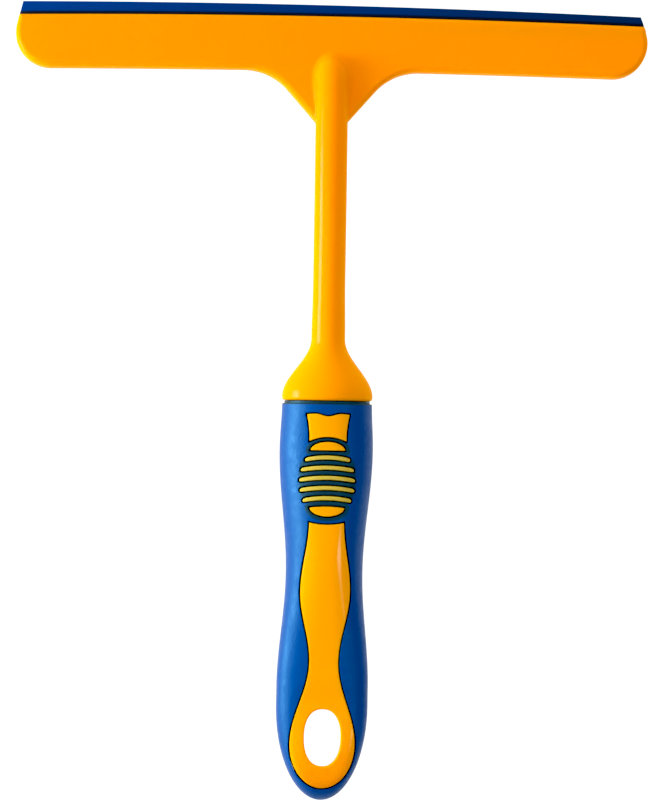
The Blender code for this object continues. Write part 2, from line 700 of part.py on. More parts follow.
def eye_outline():
    steps = 28
    ring = oval_ring(EYE_WIDTH / 2, EYE_LENGTH / 2, EYE_SQUARENESS, EYE_LENGTH / 2, steps)
    return [(x, EYE_SHARE * HANDLE_LENGTH + y) for x, y in ring]


def build_core(parts, cutters, material):
    core = handle_form("handle_core", GRIP_WALL + GRIP_GAP, HANDLE_LENGTH, parts)
    for cutter in inlays("lands", GRIP_GAP, cutters):
        lands = as_cutter(handle_form("raised_" + cutter.name, 0, HANDLE_LENGTH, cutters))
        boolean(lands, cutter, "INTERSECT")
        boolean(core, lands, "UNION")
    socket_foot = RIM_Y - PLUG_LENGTH - PLUG_GAP
    bore_foot = BUTT_Y + BORE_FOOT_SHARE * HANDLE_LENGTH
    holes = (
        ("socket", PLUG_WIDTH + 2 * PLUG_GAP, PLUG_DEPTH + 2 * PLUG_GAP, socket_foot),
        ("bore", BORE_WIDTH, BORE_DEPTH, bore_foot),
    )
    for name, width, depth, foot in holes:
        hole = rod(name, width, depth, foot, RIM_Y + OVERRUN, cutters, NECK_SIDES)
        hole.location.z = AXIS_HEIGHT
        boolean(core, as_cutter(hole), "DIFFERENCE")
    on_handle = Matrix.Translation((0, BUTT_Y, 0))
    below, above = AXIS_HEIGHT - PALM_DEPTH, AXIS_HEIGHT + PALM_DEPTH
    eye = as_cutter(prism("eye", [eye_outline()], below, above, cutters, on_handle))
    boolean(core, eye, "DIFFERENCE")
    finish(core, material)


def build_grip(parts, cutters, material):
    grip = handle_form("soft_grip", 0, HANDLE_LENGTH, parts, round_top=True)
    lining = as_cutter(handle_form("grip_lining", GRIP_WALL, HANDLE_LENGTH + OVERRUN, cutters))
    boolean(grip, lining, "DIFFERENCE")
    for cutter in inlays("windows", 0, cutters):
        boolean(grip, cutter, "DIFFERENCE")
    finish(grip, material)


def main():
    clear_scene()
    parts = new_collection("squeegee")
    cutters = new_collection("cutters")
    orange = plastic("orange_plastic", (1.0, 0.31, 0.002), 0.25)
    blue = plastic("blue_soft_plastic", (0.002, 0.06, 0.28), 0.55)
    rubber = plastic("blue_rubber", (0.001, 0.045, 0.22), 0.40)
    build_holder(parts, cutters, orange)
    build_core(parts, cutters, orange)
    build_grip(parts, cutters, blue)
    build_blade(parts, cutters, rubber)


main()
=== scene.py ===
"""The squeegee as photographed: every piece is meshed finely over the CAD's own sizes, with its real colours
and some painted light and shade.
"""
import math

import bpy
import numpy as np
from mathutils import Matrix, Vector


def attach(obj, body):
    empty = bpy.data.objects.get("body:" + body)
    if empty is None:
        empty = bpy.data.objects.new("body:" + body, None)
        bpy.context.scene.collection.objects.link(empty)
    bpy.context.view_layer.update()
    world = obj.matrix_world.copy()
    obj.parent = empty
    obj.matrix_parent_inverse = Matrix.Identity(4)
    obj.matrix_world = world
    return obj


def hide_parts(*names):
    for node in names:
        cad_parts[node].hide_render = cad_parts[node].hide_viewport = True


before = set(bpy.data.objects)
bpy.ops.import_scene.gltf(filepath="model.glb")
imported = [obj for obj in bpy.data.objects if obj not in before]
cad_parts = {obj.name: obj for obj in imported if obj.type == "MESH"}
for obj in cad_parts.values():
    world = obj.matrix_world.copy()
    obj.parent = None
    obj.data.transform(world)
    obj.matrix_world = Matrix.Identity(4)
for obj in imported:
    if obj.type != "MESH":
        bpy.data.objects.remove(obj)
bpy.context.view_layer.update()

MM = 0.001

# Sizes in millimetres, as in the CAD. A name that ends in AT is a share of the handle's length, from its butt.
HOLDER_WIDTH, HOLDER_HEIGHT, HOLDER_THICKNESS = 250.0, 21.4, 7.0
HOLDER_TILT = math.radians(7)
HOLDER_CORNER, BACK_EDGE, FRONT_EDGE = 14.0, 1.0, 2.1
TOP_INSET, TOP_CROWN, FOOT_CROWN = 1.3, 1.6, 1.2
WEB_DROP, WEB_RADIUS, WEB_ANGLE = 20.6, 23.0, math.radians(49)
POCKET_SKIN, POCKET_WALL, RIB, BAYS = 2.2, 2.0, 1.6, 12
NECK_ROOT_WALL, WINDOW_HEIGHT, WINDOW_SHARE = 3.0, 2.6, 0.45
BEAD_RADIUS, BEAD_DEPTH, SLIDE_GAP = 1.7, 5.0, 0.3
LIP_REACH, LIP, TIP, END_SLANT = 4.9, 1.6, 1.0, 1.4
NECK_REACH, NECK_BEND, NECK, FLARE, FLARE_LENGTH = 136.2, 5.3, 6.35, 0.3, 22.0
NOSE_SETBACK, NOSE = 15.7, 9.2
SHOULDER_WIDTH, SHOULDER_DEPTH, SHOULDER_LENGTH, RIM_EDGE = 35.7, 26.6, 24.5, 1.4
PLUG_WIDTH, PLUG_DEPTH, PLUG_LENGTH, PLUG_WALL, PLUG_GAP = 17.6, 13.6, 30.0, 2.4, 0.3
HANDLE, SEAM = 156.6, 0.5
TOP_WIDTH, PALM, WAIST, SWELL = 35.4, 36.8, 30.2, 36.0
TOP_DEPTH, PALM_DEPTH, TAB_DEPTH, FLAT_DEPTH = 26.4, 27.8, 18.4, 17.0
SWELL_AT, WAIST_AT, PALM_AT, BUTT_AT = 0.281, 0.572, 0.881, 0.236
DEEPEST_AT, TAB_AT, TAB_ROUND_AT, FADE_AT = 0.715, 0.243, 0.077, 0.409
TAB_SQUARENESS, BODY_SQUARENESS = 3.0, 2.2
GRIP_WALL, GRIP_GAP = 2.2, 0.3
AXIS = PALM_DEPTH / 2
TC, TS = math.cos(HOLDER_TILT), math.sin(HOLDER_TILT)
HOLDER_REACH = NECK_REACH + NOSE_SETBACK
BUTT = -(HANDLE + SEAM + HOLDER_REACH + LIP_REACH * TC + TIP / 2 * TS) / 2
HANDLE_TOP = BUTT + HANDLE
RIM = BUTT + HANDLE + SEAM
TOP_Y = RIM + HOLDER_REACH
TOP_Z = HOLDER_THICKNESS / 2 * TC - BACK_EDGE * TS

# The inlays and the hanging eye: widths are halves.
BULB, FOOT, BULB_HALF = 0.141 * HANDLE, 0.029 * HANDLE, 13.1
LONG_TOP_AT, LONG_TOP_HALF, LONG_TOP_DIP = 0.700, 7.15, 0.9
LONG_WIDTHS = ((0.141, BULB_HALF), (0.348, 6.0), (0.524, 10.05), (LONG_TOP_AT, LONG_TOP_HALF))
UPPER_FOOT_AT, UPPER_FOOT_HALF, UPPER_FOOT_RISE = 0.898, 7.6, 1.9
UPPER_TOP_AT, UPPER_TOP_HALF, UPPER_TOP_LIFT, UPPER_SPREAD, UPPER_WAIST = 0.971, 8.8, 0.2, 1.2, 0.4
CORNER_FALL, DIP_SHARE, LEVEL_SHARE = 0.35, 0.55, 0.45
PAD, PAD_LENGTH, PAD_HALF = 0.802 * HANDLE, 0.190 * HANDLE, 11.3
SLOTS, SLOT_SQUARENESS, SLOT_HEIGHT = 5, 20, 0.074 * PAD_LENGTH
SLOT_PLACE, SLOT_PITCH, SLOT_BOW = PAD + 0.023 * PAD_LENGTH, 0.134 * PAD_LENGTH, 1.1
CAP_OFFSET, CAP_LENGTH, CAP_HALF = 0.369, 0.134 * PAD_LENGTH, 7.2
REAR_TOP_AT = 0.275
EYE_AT, EYE_HALF_WIDTH, EYE_HALF_HEIGHT, EYE_SQUARENESS = 0.158, 7.15, 11.1, 2.3

# Rounded edges, joins, grooves and overlaps, in millimetres. The draft is a slope.
POCKET_EDGE, POCKET_END_EDGE, POCKET_RIM_EDGE, CHANNEL_EDGE, WINDOW_EDGE = 0.5, 0.8, 0.3, 0.25, 0.2
WEB_JOIN, NOSE_JOIN_GAIN, NOSE_JOIN_START, NOSE_JOIN_LENGTH = 0.7, 1.6, 112, 14
RECESS_DEPTH, RECESS_EDGE = 0.7, 0.1
PLUG_OVERLAP, PLUG_EDGE = 1, 0.3
FLAT_EDGE = 0.8
INLAYS_FROM_AXIS = 1
GROOVE, GROOVE_EDGE = 0.15, 0.3
GRIP_SETBACK, GRIP_TOP_EDGE = 0.6, 0.4
RING_INSET, RING_PLACE, RING_HALF_HEIGHT = 0.9, 1.1, 1.0
LAND_EDGE, SPIGOT_RISE, SPIGOT_ROOT, SOCKET_EDGE = 0.25, 0.4, 4, 0.2
EYE_DRAFT, EYE_EDGE = 0.055, 0.7

# Where painted shade darkens seams, and where the thumb pad gets painted shade on the grip and an olive tint
# on the core, in millimetres.
SHADE_START, SHADE_FADE = 0.12, 0.3
RIM_SHADE, GRIP_TOP_SHADE, EYE_CLEAR = 0.3, 1.3, 2.0
CAP_SHADE_BAND, CAP_SHADE_FADE = 1.7, 0.3
PAD_SHADE_GRIP_HALF, PAD_TINT_CORE_HALF, PAD_MARK_PITCHES, PAD_MARK_FADE = 11.8, 14.0, 2.75, 0.1

# The meshing of the fields.
BLOCK, BLOCK_REACH, BATCH = 8, 1.5, 1500
CORNERS = [(a, b, c) for a in (0, 1) for b in (0, 1) for c in (0, 1)]
SLOPE_STEP, SLOPE_LEAST, MOVES, MOVE_LIMIT = 0.12, 0.05, 3, 0.6
HOLDER_STEP, HANDLE_STEP = 0.4, 0.36
TINY, SPECK, SAME_POINT, FAR = 1e-6, 1e-9, 1e-12, 1e9


# Distances, negative inside. Shapes join and cut with rounded edges.

def join(a, b, r):
    u = np.maximum(r - a, 0)
    v = np.maximum(r - b, 0)
    return np.maximum(r, np.minimum(a, b)) - np.hypot(u, v)


def both(a, b, r):
    u = np.maximum(r + a, 0)
    v = np.maximum(r + b, 0)
    return np.minimum(-r, np.maximum(a, b)) + np.hypot(u, v)


def cut(a, b, r):
    return both(a, -b, r)


def oval(x, z, a, b):
    """Distance to an ellipse, close to its edge."""
    k = np.hypot(x / a, z / b)
    g = np.hypot(x / a**2, z / b**2)
    return np.where(g > TINY, k * (k - 1) / np.maximum(g, TINY), -np.minimum(a, b))


def ease(share):
    return (1 - np.cos(np.pi * np.clip(share, 0, 1))) / 2


def through(stations, share):
    """A value that eases from each station to the next."""
    share = np.asarray(share, float)
    value = np.full(share.shape, float(stations[0][1]))
    for (start, low), (end, high) in zip(stations, stations[1:]):
        value = np.where(share > start, low + (high - low) * ease((share - start) / (end - start)), value)
    return value


class Outline:
    """Signed distance to closed outlines in a plane, kept as a table and read between its points."""

    def __init__(self, outlines, low, high, step, mirror=False):
        self.low, self.step, self.mirror = low, step, mirror
        count = [int(math.ceil((b - a) / step)) + 2 for a, b in zip(low, high)]
        x = low[0] + step * np.arange(count[0])[:, None]
        y = low[1] + step * np.arange(count[1])[None, :]
        best = np.full(count, FAR)
        inside = np.zeros(count, bool)
        for outline in outlines:
            points = np.asarray(outline, float)
            for (ax, ay), (bx, by) in zip(points, np.roll(points, -1, axis=0)):
                dx, dy = bx - ax, by - ay
                size = dx * dx + dy * dy
                if size < SAME_POINT:
                    continue
                t = np.clip(((x - ax) * dx + (y - ay) * dy) / size, 0, 1)
                best = np.minimum(best, (x - ax - t * dx) ** 2 + (y - ay - t * dy) ** 2)
                if ay != by:
                    crosses = ((ay > y) != (by > y)) & (x < ax + (y - ay) / dy * dx)
                    inside ^= crosses
        self.table = np.where(inside, -1, 1) * np.sqrt(best)

    def __call__(self, x, y):
        if self.mirror:
            x = np.abs(x)
        t = self.table
        # Just short of the last row, so that each point has a row on either side.
        i = np.clip((x - self.low[0]) / self.step, 0, t.shape[0] - 1.001)
        j = np.clip((y - self.low[1]) / self.step, 0, t.shape[1] - 1.001)
        i0, j0 = i.astype(int), j.astype(int)
        i, j = i - i0, j - j0
        low = t[i0, j0] * (1 - i) + t[i0 + 1, j0] * i
        high = t[i0, j0 + 1] * (1 - i) + t[i0 + 1, j0 + 1] * i
        return low * (1 - j) + high * j


# A closed mesh over a field's zero surface.

def find_cells(field, low, high, step):
    """The grid cells that the surface passes through, and the field at their corners.

    Blocks of cells that lie far from the surface are left out.
    """
    blocks = np.ceil((high - low) / (step * BLOCK)).astype(int)
    index = np.stack(np.meshgrid(*[np.arange(b) for b in blocks], indexing="ij"), -1).reshape(-1, 3)
    middle = low + (index + 0.5) * step * BLOCK
    index = index[np.abs(field(*middle.T)) < step * BLOCK * BLOCK_REACH]
    offsets = np.stack(np.meshgrid(*[np.arange(BLOCK + 1)] * 3, indexing="ij"), -1)
    cells, values = [], []
    for part in np.array_split(index, max(1, len(index) // BATCH)):
        points = low + (part[:, None, None, None, :] * BLOCK + offsets[None]) * step
        v = field(points[..., 0], points[..., 1], points[..., 2])
        corner = [v[:, a:a + BLOCK, b:b + BLOCK, c:c + BLOCK] for a, b, c in CORNERS]
        inside = sum((q < 0).astype(np.int8) for q in corner)
        found = np.nonzero((inside > 0) & (inside < len(CORNERS)))
        cells.append(part[found[0]] * BLOCK + np.stack(found[1:], -1))
        values.append(np.stack([q[found] for q in corner], -1))
    cells, values = np.concatenate(cells), np.concatenate(values)
    size = blocks * BLOCK + 1
    stride = np.array([size[1] * size[2], size[2], 1])
    key = (cells * stride).sum(-1)
    order = np.argsort(key)
    return cells[order], values[order], key[order], stride


def crossing_points(cells, values, low, step):
    """For each cell, the mean of the places where the surface crosses its edges."""
    place = np.zeros((len(cells), 3))
    hits = np.zeros(len(cells))
    corners = np.array(CORNERS, float)
    for a in range(len(CORNERS)):
        for axis in range(3):
            b = a | (4 >> axis)
            if a == b:
                continue
            va, vb = values[:, a], values[:, b]
            mixed = (va < 0) != (vb < 0)
            t = np.where(mixed, va / np.where(mixed, va - vb, 1), 0)
            place += np.where(mixed[:, None], corners[a] + t[:, None] * (corners[b] - corners[a]), 0)
            hits += mixed
    return low + (cells + place / hits[:, None]) * step


def quads_round_edges(values, key, stride):
    """A face round each grid edge that the surface crosses, between the four cells that share it."""
    quads = []
    for axis in range(3):
        one, two = stride[(axis + 1) % 3], stride[(axis + 2) % 3]
        va, vb = values[:, 0], values[:, 4 >> axis]
        mixed = np.nonzero((va < 0) != (vb < 0))[0]
        k = key[mixed]
        ids = np.stack([np.searchsorted(key, q) for q in (k, k - one, k - one - two, k - two)], -1)
        quads.append(np.where((va[mixed] < 0)[:, None], ids, ids[:, ::-1]))
    return np.concatenate(quads)


def slope(field, p):
    steps = np.eye(3) * SLOPE_STEP
    return np.stack([(field(*(p + d).T) - field(*(p - d).T)) / (2 * SLOPE_STEP) for d in steps], -1)


def add_object(name, mesh):
    made = bpy.data.objects.new(name, mesh)
    bpy.context.scene.collection.objects.link(made)
    return made


def mark(mesh, values):
    """Keeps two numbers for each point: how deep it lies in a seam, which sets painted shade there, and the
    thumb pad's mark, painted shade on the grip and an olive tint on the core.
    """
    for name, value in zip(("seam", "pad_tint_and_shade"), values):
        mesh.attributes.new(name, "FLOAT", "POINT").data.foreach_set("value", np.asarray(value, np.float32))


def skin(name, field, low, high, step, shade):
    """The mesh of one piece. Its points are moved onto the surface, and its normals are the field's own."""
    low, high = np.asarray(low, float), np.asarray(high, float)
    cells, values, key, stride = find_cells(field, low, high, step)
    points = crossing_points(cells, values, low, step)
    quads = quads_round_edges(values, key, stride)
    for _ in range(MOVES):
        g = slope(field, points)
        move = field(*points.T)[:, None] * g / np.maximum((g * g).sum(-1, keepdims=True), SLOPE_LEAST)
        points = points - np.clip(move, -step * MOVE_LIMIT, step * MOVE_LIMIT)
    # No rounding error takes a point out of the CAD's box.
    points = np.maximum(points, (-HOLDER_WIDTH / 2, BUTT, 0))
    normals = slope(field, points)
    normals /= np.maximum(np.linalg.norm(normals, axis=-1, keepdims=True), SPECK)
    mesh = bpy.data.meshes.new(name)
    mesh.vertices.add(len(points))
    mesh.vertices.foreach_set("co", (points * MM).astype(np.float32).ravel())
    mesh.loops.add(quads.size)
    mesh.loops.foreach_set("vertex_index", quads.astype(np.int32).ravel())
    mesh.polygons.add(len(quads))
    mesh.polygons.foreach_set("loop_start", np.arange(0, quads.size, 4, dtype=np.int32))
    mesh.update(calc_edges=True)
    mesh.validate()
    mesh.shade_smooth()
    mesh.normals_split_custom_set_from_vertices(normals.astype(np.float32))
    mark(mesh, shade(*points.T))
    return add_object(name, mesh)


# The blade holder with its neck and shoulder.

def holder_outline():
    half = HOLDER_WIDTH / 2
    web_steps, foot_steps, corner_steps, side_steps, top_steps = 24, 20, 28, 10, 30
    arc_end = NECK + (WEB_DROP - WEB_RADIUS * (1 - math.cos(WEB_ANGLE))) / math.tan(WEB_ANGLE)
    arc_start = arc_end + WEB_RADIUS * math.sin(WEB_ANGLE)

    def foot(u):
        return -HOLDER_HEIGHT - FOOT_CROWN * (u / half) ** 2

    points = [(0, -HOLDER_HEIGHT - WEB_DROP - NECK * math.tan(WEB_ANGLE))]
    for t in np.linspace(WEB_ANGLE, 0, web_steps):
        u = arc_start - WEB_RADIUS * math.sin(t)
        points.append((u, foot(u) - WEB_RADIUS * (1 - math.cos(t))))
    middle = half - HOLDER_CORNER
    points += [(u, foot(u)) for u in np.linspace(arc_start, middle, foot_steps)[1:-1]]
    for t in np.linspace(0, math.pi / 2, corner_steps):
        corner_rise = HOLDER_CORNER * (1 - math.cos(t))
        points.append((middle + HOLDER_CORNER * math.sin(t), foot(middle) + corner_rise))
    side = points[-1][1]
    for s in np.linspace(0, 1, side_steps)[1:]:
        points.append((half - TOP_INSET * s**2, side + (-TOP_CROWN - side) * s))
    points += [(u, -TOP_CROWN * (u / half) ** 2) for u in np.linspace(half - TOP_INSET, 0, top_steps)[1:]]
    return points + [(-u, v) for u, v in reversed(points[1:-1])]


PLATE = Outline([holder_outline()], low=(-128, -52), high=(128, 4), step=0.25)


def blade_channel(v, w):
    bead = np.hypot(v + BEAD_DEPTH, w) - BEAD_RADIUS - SLIDE_GAP
    slot = np.maximum(np.abs(w) - LIP / 2 - SLIDE_GAP, -(v + BEAD_DEPTH))
    return np.minimum(bead, slot)


def slab_field(x, y, z):
    """The leaning holder: v runs up its face and w out of it, both from the middle of its top edge."""
    yy, zz = y - TOP_Y, z - TOP_Z
    v, w = yy * TC - zz * TS, yy * TS + zz * TC
    half = HOLDER_THICKNESS / 2
    edge = PLATE(x, v)
    slab = both(edge, np.abs(w) - half, np.where(w > 0, FRONT_EDGE, BACK_EDGE))
    pitch = HOLDER_WIDTH / BAYS
    from_rib = np.abs((x / pitch + 0.5) % 1 - 0.5) * pitch
    from_bay = np.abs((x / pitch) % 1 - 0.5) * pitch
    pocket = both(edge + POCKET_WALL, w - (half - POCKET_SKIN), POCKET_EDGE)
    land = -(BEAD_DEPTH + BEAD_RADIUS + SLIDE_GAP + TOP_CROWN + POCKET_WALL)
    pocket = both(pocket, v - land, POCKET_EDGE)
    pocket = both(pocket, NECK + NECK_ROOT_WALL - np.abs(x), POCKET_END_EDGE)
    pocket = both(pocket, RIB / 2 - from_rib, POCKET_EDGE)
    window = np.maximum(from_bay - pitch * WINDOW_SHARE / 2, np.abs(v + BEAD_DEPTH) - WINDOW_HEIGHT / 2)
    window = np.maximum(window, w)
    slab = cut(slab, pocket, POCKET_RIM_EDGE)
    slab = cut(slab, blade_channel(v, w), CHANNEL_EDGE)
    return cut(slab, window, WINDOW_EDGE)


def neck_field(x, z, d):
    """The shoulder, the neck that bends back and its nose; d is the distance from the shoulder's rim."""
    end = NECK_REACH - NOSE
    share = np.clip((d - SHOULDER_LENGTH) / (NECK_REACH - SHOULDER_LENGTH), 0, 1)
    up = z - AXIS + NECK_BEND * share**2
    foot = NECK + FLARE * (1 - ease((d - SHOULDER_LENGTH) / FLARE_LENGTH))
    fall = ease((d - RIM_EDGE) / (SHOULDER_LENGTH - RIM_EDGE))
    a = SHOULDER_WIDTH / 2 + (foot - SHOULDER_WIDTH / 2) * fall
    b = SHOULDER_DEPTH / 2 + (foot - SHOULDER_DEPTH / 2) * fall
    neck = oval(x, up, a, b)
    k = np.sqrt((x**2 + up**2) / NECK**2 + (d - end) ** 2 / NOSE**2)
    g = np.sqrt((x**2 + up**2) / NECK**4 + (d - end) ** 2 / NOSE**4)
    nose = k * (k - 1) / np.maximum(g, TINY)
    return both(np.where(d > end, nose, neck), -d, RIM_EDGE)


def holder_field(x, y, z):
    d = y - RIM
    recess = np.maximum(handle_carried_on(x, y, z) + GRIP_WALL, d - RECESS_DEPTH)
    join_radius = WEB_JOIN + NOSE_JOIN_GAIN * ease((d - NOSE_JOIN_START) / NOSE_JOIN_LENGTH)
    whole = cut(join(slab_field(x, y, z), neck_field(x, z, d), join_radius), recess, RECESS_EDGE)
    plug_ends = np.maximum(-PLUG_LENGTH - d, d - PLUG_OVERLAP)
    plug = np.maximum(oval(x, z - AXIS, PLUG_WIDTH / 2, PLUG_DEPTH / 2), plug_ends)
    hollow = np.maximum(oval(x, z - AXIS, PLUG_WIDTH / 2 - PLUG_WALL, PLUG_DEPTH / 2 - PLUG_WALL), d)
    return cut(join(whole, plug, PLUG_EDGE), hollow, PLUG_EDGE)


# The handle: one outer form shared by the core and the grip.

def reader(stations, count=1600):
    places = np.linspace(0, 1, count)
    table = through(stations, places)
    return lambda share: np.interp(share, places, table)


WIDTH_OF = reader(((SWELL_AT, SWELL / 2), (WAIST_AT, WAIST / 2), (PALM_AT, PALM / 2), (1, TOP_WIDTH / 2)))
DEPTH_OF = reader(((TAB_AT, TAB_DEPTH / 2), (DEEPEST_AT, PALM_DEPTH / 2), (1, TOP_DEPTH / 2)))
SQUARENESS_OF = reader(((TAB_AT, TAB_SQUARENESS), (DEEPEST_AT, BODY_SQUARENESS)))
FLAT_OF = reader(((TAB_AT, FLAT_DEPTH / 2), (FADE_AT, PALM_DEPTH / 2)))


def bulge(share, length):
    return np.sqrt(np.maximum(1 - np.clip(1 - share / length, 0, 1) ** 2, 0))


def form_sizes(share):
    return WIDTH_OF(share) * bulge(share, BUTT_AT), DEPTH_OF(share) * bulge(share, TAB_ROUND_AT)


def handle(x, y, z):
    """Distance to the outer form, a rounded section that changes along the handle."""
    step = 0.004 / HANDLE
    share = np.clip((y - BUTT) / HANDLE, step, 1)
    a, b = form_sizes(share)
    a2, b2 = form_sizes(share + step / 2)
    a1, b1 = form_sizes(share - step / 2)
    da, db = (a2 - a1) / (step * HANDLE), (b2 - b1) / (step * HANDLE)
    n = SQUARENESS_OF(share)
    up = z - AXIS
    X, Z = np.abs(x) / a, np.abs(up) / b
    k = np.maximum((X**n + Z**n), SPECK) ** (1 / n)
    kn = k ** (n - 1)
    gx, gz = X ** (n - 1) / a / kn, Z ** (n - 1) / b / kn
    gy = (X**n * da / a + Z**n * db / b) / kn
    body = (k - 1) / np.sqrt(gx**2 + gz**2 + gy**2 + SPECK)
    body = np.maximum(body, -np.minimum(a, b)) + np.maximum(BUTT - y, 0)
    return both(body, np.abs(up) - FLAT_OF(share), FLAT_EDGE)


def handle_carried_on(x, y, z):
    """The same form, which goes on past the handle's top at the size that it has there."""
    return handle(x, np.minimum(y, HANDLE_TOP), z)


# Outlines of the inlays, in millimetres from the handle's butt. Each starts with its right side.

def mirrored(right):
    return right + [(-x, y) for x, y in reversed(right) if x > 0]


def dished(half, place, rise, steps=14):
    """An edge that bows by its rise in the middle."""
    return [(half * s, place + rise * (1 - s * s)) for s in np.linspace(1, 0, steps)[1:]]


def scooped(half, place, steps=20):
    """An edge that dips in its middle and falls off a little toward its corners."""
    points = []
    for s in np.linspace(1, 0, steps)[1:]:
        if s < DIP_SHARE:
            dip = 1 - ease(s / DIP_SHARE)
        else:
            dip = CORNER_FALL * ((s - DIP_SHARE) / LEVEL_SHARE) ** 2
        points.append((half * s, place - float(dip)))
    return points


def long_inlay():
    right = []
    for t in np.linspace(0, math.pi / 2, 30)[:-1]:
        right.append((BULB_HALF * math.sin(t), BULB - (BULB - FOOT) * math.cos(t)))
    top = LONG_TOP_AT * HANDLE
    for y in np.linspace(BULB, top, 80):
        right.append((float(through(LONG_WIDTHS, y / HANDLE)), y))
    return mirrored(right + dished(LONG_TOP_HALF, top, -LONG_TOP_DIP))


def upper_inlay():
    foot, top = UPPER_FOOT_AT * HANDLE, UPPER_TOP_AT * HANDLE + UPPER_TOP_LIFT
    right = dished(UPPER_FOOT_HALF, foot, UPPER_FOOT_RISE)[::-1]
    for s in np.linspace(0, 1, 14):
        half = UPPER_FOOT_HALF + UPPER_SPREAD * s - UPPER_WAIST * 4 * s * (1 - s)
        right.append((half, foot + (top - CORNER_FALL - foot) * s))
    return mirrored(right + scooped(UPPER_TOP_HALF, top))


def pad_slots():
    s = np.cos(np.linspace(0, math.pi, 40))
    rise = SLOT_HEIGHT / 2 * np.sqrt(np.maximum(1 - s**SLOT_SQUARENESS, 0))
    for k in range(SLOTS):
        place = SLOT_PLACE + SLOT_PITCH * (k - SLOTS // 2)
        reach = PAD_HALF * math.sqrt(1 - ((place - PAD) / (PAD_LENGTH / 2)) ** 2)
        y = place + SLOT_BOW * (0.5 - s**2)
        upper, lower = list(zip(reach * s, y + rise)), list(zip(reach * s, y - rise))
        yield upper[:-1] + lower[:0:-1]


def pad_cap(up):
    inner = SLOT_PLACE + up * CAP_OFFSET * PAD_LENGTH
    turns = np.linspace(0, math.pi, 30)[:-1]
    outer = [(CAP_HALF * math.cos(t), inner + up * CAP_LENGTH * math.sin(t)) for t in turns]
    bow = SLOT_BOW / 2 if up < 0 else 0
    return outer + [(-CAP_HALF * math.cos(t), inner + bow * math.sin(t) ** 2) for t in turns]


def rear_inlay():
    points = []
    for t in np.linspace(0, 2 * math.pi, 90)[:-1]:
        rise = REAR_TOP_AT * HANDLE - BULB if math.sin(t) > 0 else BULB - FOOT
        points.append((BULB_HALF * math.cos(t), BULB + rise * math.sin(t)))
    return points


def eye_outline():
    turns = np.linspace(0, 2 * math.pi, 90)[:-1]
    x, y = np.cos(turns), np.sin(turns)
    power = 2 / EYE_SQUARENESS
    across = np.sign(x) * abs(x) ** power * EYE_HALF_WIDTH
    return list(zip(across, EYE_AT * HANDLE + np.sign(y) * abs(y) ** power * EYE_HALF_HEIGHT))


HALF_HANDLE = {"low": (0, -1), "high": (20, 158), "mirror": True}
PAD_CAPS = [pad_cap(1), pad_cap(-1)]
FRONT = Outline([long_inlay(), upper_inlay(), *pad_slots(), *PAD_CAPS], step=0.12, **HALF_HANDLE)
BACK = Outline([rear_inlay()], step=0.25, **HALF_HANDLE)
EYE = Outline([eye_outline()], step=0.2, **HALF_HANDLE)
CAPS = Outline(PAD_CAPS, low=(0, 90), high=(20, 158), step=0.25, mirror=True)


def windows(x, y, z):
    front = np.maximum(FRONT(x, y - BUTT), AXIS + INLAYS_FROM_AXIS - z)
    back = np.maximum(BACK(x, y - BUTT), z - AXIS + INLAYS_FROM_AXIS)
    return np.minimum(front, back)


def grip_field(x, y, z):
    """The soft shell, and the ring that shows in the seam under the shoulder; the ring is coloured with
    painted shade, standing in for the shadow in that seam.
    """
    outer, carried_on = handle(x, y, z), handle_carried_on(x, y, z)
    top = y - BUTT - HANDLE + GRIP_SETBACK
    shell = np.maximum(both(outer, top, GRIP_TOP_EDGE), -(carried_on + GRIP_WALL))
    ring = np.maximum(carried_on + RING_INSET, -(carried_on + GRIP_WALL))
    ring = np.maximum(ring, np.abs(y - RIM + RING_PLACE) - RING_HALF_HEIGHT)
    return cut(np.minimum(shell, ring), windows(x, y, z) - GROOVE, GROOVE_EDGE)


def core_field(x, y, z):
    """The core with its lands, a spigot into the shoulder, the eye and the plug's socket."""
    outer = handle(x, y, z)
    lands = both(outer, windows(x, y, z) + GRIP_GAP, LAND_EDGE)
    core = np.maximum(np.minimum(outer + GRIP_WALL + GRIP_GAP, lands), y - BUTT - HANDLE)
    spigot = np.maximum(handle_carried_on(x, y, z) + GRIP_WALL + GRIP_GAP, y - RIM - SPIGOT_RISE)
    core = np.minimum(core, np.maximum(spigot, HANDLE_TOP - SPIGOT_ROOT - y))
    core = cut(core, EYE(x, y - BUTT) - EYE_DRAFT * (AXIS + FLAT_DEPTH / 2 - z), EYE_EDGE)
    width, depth = PLUG_WIDTH / 2 + PLUG_GAP, PLUG_DEPTH / 2 + PLUG_GAP
    socket = np.maximum(oval(x, z - AXIS, width, depth), -PLUG_LENGTH - PLUG_GAP - (y - RIM))
    return cut(core, socket, SOCKET_EDGE)


# For each point, from 0 to 1: how deep in a seam, for painted shade there, and the thumb pad's mark, painted
# shade on the grip and an olive tint on the core.

# Painted shade: darker with depth below the surface, standing in for the shade in seams and grooves.
def painted_seam_shade(depth):
    return np.clip((depth - SHADE_START) / SHADE_FADE, 0, 1)


def pad_tint_and_shade(x, y, half):
    """Full on the thumb pad's ribs and fading out round them."""
    middle = BUTT + SLOT_PLACE
    reach = np.sqrt((x / half) ** 2 + ((y - middle) / (PAD_MARK_PITCHES * SLOT_PITCH)) ** 4)
    return np.clip((1.0 - reach) / PAD_MARK_FADE, 0, 1)


# Painted shade in the grooves round the windows and on the ring and top edge under the shoulder; on the front,
# painted shade between the pad's ribs and round its caps.
def grip_shade(x, y, z):
    depth = np.maximum(-handle_carried_on(x, y, z), y - BUTT - HANDLE + GRIP_TOP_SHADE)
    cap_shade = np.clip((CAP_SHADE_BAND - CAPS(x, y - BUTT)) / CAP_SHADE_FADE, 0, 1)
    return painted_seam_shade(depth), np.maximum(pad_tint_and_shade(x, y, PAD_SHADE_GRIP_HALF), cap_shade) * (z > AXIS)


